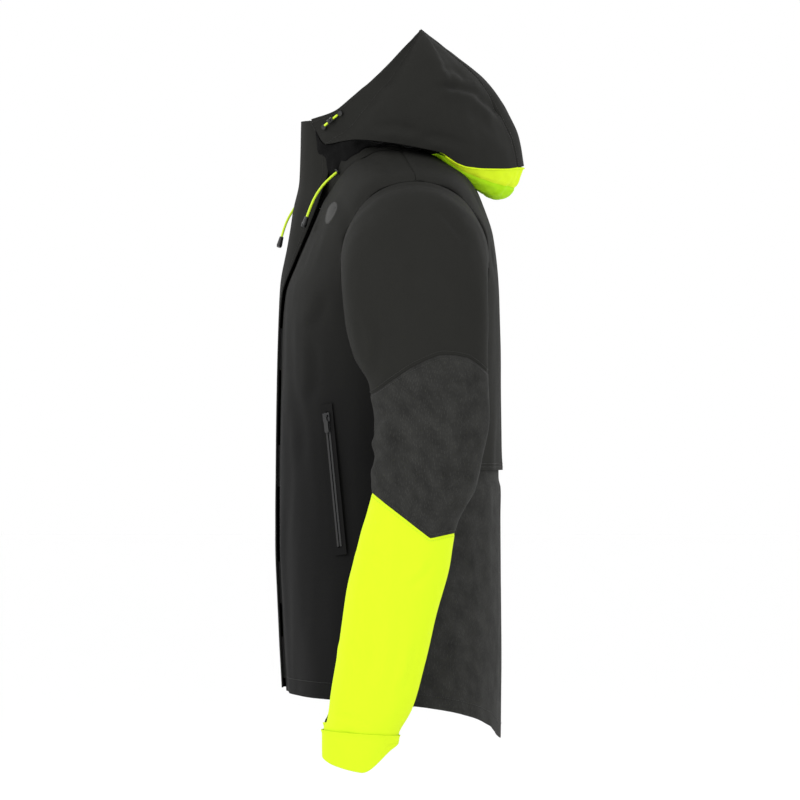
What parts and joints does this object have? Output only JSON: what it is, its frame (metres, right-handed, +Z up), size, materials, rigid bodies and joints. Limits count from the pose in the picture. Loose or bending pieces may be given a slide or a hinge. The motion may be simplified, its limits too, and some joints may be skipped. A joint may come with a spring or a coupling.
{
  "type": "hooded rain jacket",
  "caption": "Hooded rain jacket in its worn shape: black shell, hi-vis forearms, reflective elbows and lower back, storm flap over a front zip.",
  "frame": {"origin": "centre of the neck opening, level with the collar seam at the sides of the neck", "axes": "+X is the wearer's left, -Y the front, +Z up"},
  "size_m": [0.656, 0.3016, 0.8881],
  "materials": {
    "black_shell": "matte laminated plain weave",
    "reflective_weave": "black weave with grey retroreflective dashes",
    "hi_vis_shell": "fluorescent yellow plain weave",
    "lining": "matte lining",
    "hi_vis_cord": "braided cord",
    "moulded_trim": "moulded satin black",
    "zip_metal": "black enamel",
    "coil": "nylon monofilament coil",
    "tape": "woven tape",
    "touch_tape": "hook and loop tape",
    "badge": "plain heat-pressed film"
  },
  "bodies": {
    "shell": {"adjuster_cords": "hi_vis_cord", "adjuster_eyelets": "moulded_trim", "armhole_band_left": "black_shell", "armhole_band_right": "black_shell", "back_yoke": "black_shell", "chest_badge": "badge", "collar_left": "black_shell", "collar_right": "black_shell", "cord_end_left": "moulded_trim", "cord_end_right": "moulded_trim", "cord_exit_eyelets": "moulded_trim", "drawcord_left": "hi_vis_cord", "drawcord_right": "hi_vis_cord", "flap_loop_patches": "touch_tape", "front_panel_left": "black_shell", "front_panel_right": "black_shell", "hanger_loop": "tape", "hem_facing": "lining", "hood_gusset": "hi_vis_shell", "lower_back_panel": "reflective_weave", "pocket_bag_left": "lining", "pocket_bag_right": "lining", "pocket_zip_coils": "coil", "pocket_zip_frame": "tape", "zip_bottom_stop": "zip_metal", "zip_coil_left": "coil", "zip_coil_right": "coil", "zip_tape_left": "tape", "zip_tape_right": "tape"},
    "storm_flap": {"storm_flap": "black_shell", "flap_hook_patches": "touch_tape"},
    "zip_slider": {"zip_slider": "zip_metal"},
    "zip_pull": {"zip_pull": "moulded_trim"},
    "hood": {"hood_side_left": "black_shell", "hood_side_right": "black_shell", "hood_centre_strip": "black_shell", "rim_tunnel": "lining"},
    "sleeve_left": {"upper_sleeve_left": "black_shell", "elbow_panel_upper_left": "reflective_weave", "under_sleeve_upper_left": "black_shell"},
    "forearm_left": {"elbow_panel_lower_left": "reflective_weave", "forearm_panel_left": "hi_vis_shell", "under_sleeve_lower_left": "black_shell", "cuff_left": "hi_vis_shell"},
    "cord_lock_left": {"cord_lock_left": "moulded_trim"},
    "pocket_slider_left": {"pocket_slider_left": "zip_metal"},
    "pocket_pull_left": {"pocket_pull_left": "moulded_trim"},
    "sleeve_right": {"upper_sleeve_right": "black_shell", "elbow_panel_upper_right": "reflective_weave", "under_sleeve_upper_right": "black_shell"},
    "forearm_right": {"elbow_panel_lower_right": "reflective_weave", "forearm_panel_right": "hi_vis_shell", "under_sleeve_lower_right": "black_shell", "cuff_right": "hi_vis_shell"},
    "cord_lock_right": {"cord_lock_right": "moulded_trim"},
    "pocket_slider_right": {"pocket_slider_right": "zip_metal"},
    "pocket_pull_right": {"pocket_pull_right": "moulded_trim"}
  },
  "joints": [
    {"name": "storm_flap_fold", "type": "hinge", "parent": "shell", "child": "storm_flap", "pos_m": [-0.03, -0.133, -0.28], "axis": [0, 0, -1], "range_deg": [0, 26], "deforming": ["drawcord_left", "drawcord_right", "cord_end_left", "cord_end_right"]},
    {"name": "front_zip_run", "type": "hinge", "parent": "shell", "child": "zip_slider", "pos_m": [0, 3.42479, -0.43205], "axis": [1, 0, 0], "range_deg": [0, 10.5]},
    {"name": "front_pull_swing", "type": "hinge", "parent": "zip_slider", "child": "zip_pull", "pos_m": [0, -0.08871, 0.05118], "axis": [-1, 0, 0], "range_deg": [0, 22]},
    {"name": "hood_swing", "type": "hinge", "parent": "shell", "child": "hood", "pos_m": [0, 0.088, 0.01], "axis": [-1, 0, 0], "range_deg": [0, 35], "deforming": ["hood_gusset"]},
    {"name": "sleeve_swing_left", "type": "hinge", "parent": "shell", "child": "sleeve_left", "pos_m": [0.212, 0.036, -0.108], "axis": [-1, 0, 0], "range_deg": [-20, 70]},
    {"name": "elbow_bend_left", "type": "hinge", "parent": "sleeve_left", "child": "forearm_left", "pos_m": [0.281, 0.03, -0.33], "axis": [-1, 0, 0], "range_deg": [0, 45]},
    {"name": "cord_lock_slide_left", "type": "slide", "parent": "shell", "child": "cord_lock_left", "axis": [0.4712, 0.6824, 0.5588], "range_m": [-0.004, 0.004]},
    {"name": "pocket_zip_run_left", "type": "slide", "parent": "shell", "child": "pocket_slider_left", "axis": [0.0986, 0.0978, -0.9903], "range_m": [0, 0.145]},
    {"name": "pocket_pull_swing_left", "type": "hinge", "parent": "pocket_slider_left", "child": "pocket_pull_left", "pos_m": [0.18912, -0.07115, -0.29511], "axis": [-0.5093, -0.85, -0.1347], "range_deg": [0, 100]},
    {"name": "sleeve_swing_right", "type": "hinge", "parent": "shell", "child": "sleeve_right", "pos_m": [-0.212, 0.036, -0.108], "axis": [-1, 0, 0], "range_deg": [-20, 70]},
    {"name": "elbow_bend_right", "type": "hinge", "parent": "sleeve_right", "child": "forearm_right", "pos_m": [-0.281, 0.03, -0.33], "axis": [-1, 0, 0], "range_deg": [0, 45]},
    {"name": "cord_lock_slide_right", "type": "slide", "parent": "shell", "child": "cord_lock_right", "axis": [-0.4712, 0.6824, 0.5588], "range_m": [-0.004, 0.004]},
    {"name": "pocket_zip_run_right", "type": "slide", "parent": "shell", "child": "pocket_slider_right", "axis": [-0.0986, 0.0978, -0.9903], "range_m": [0, 0.145]},
    {"name": "pocket_pull_swing_right", "type": "hinge", "parent": "pocket_slider_right", "child": "pocket_pull_right", "pos_m": [-0.18912, -0.07115, -0.29511], "axis": [-0.5093, 0.85, 0.1347], "range_deg": [0, 100]}
  ]
}
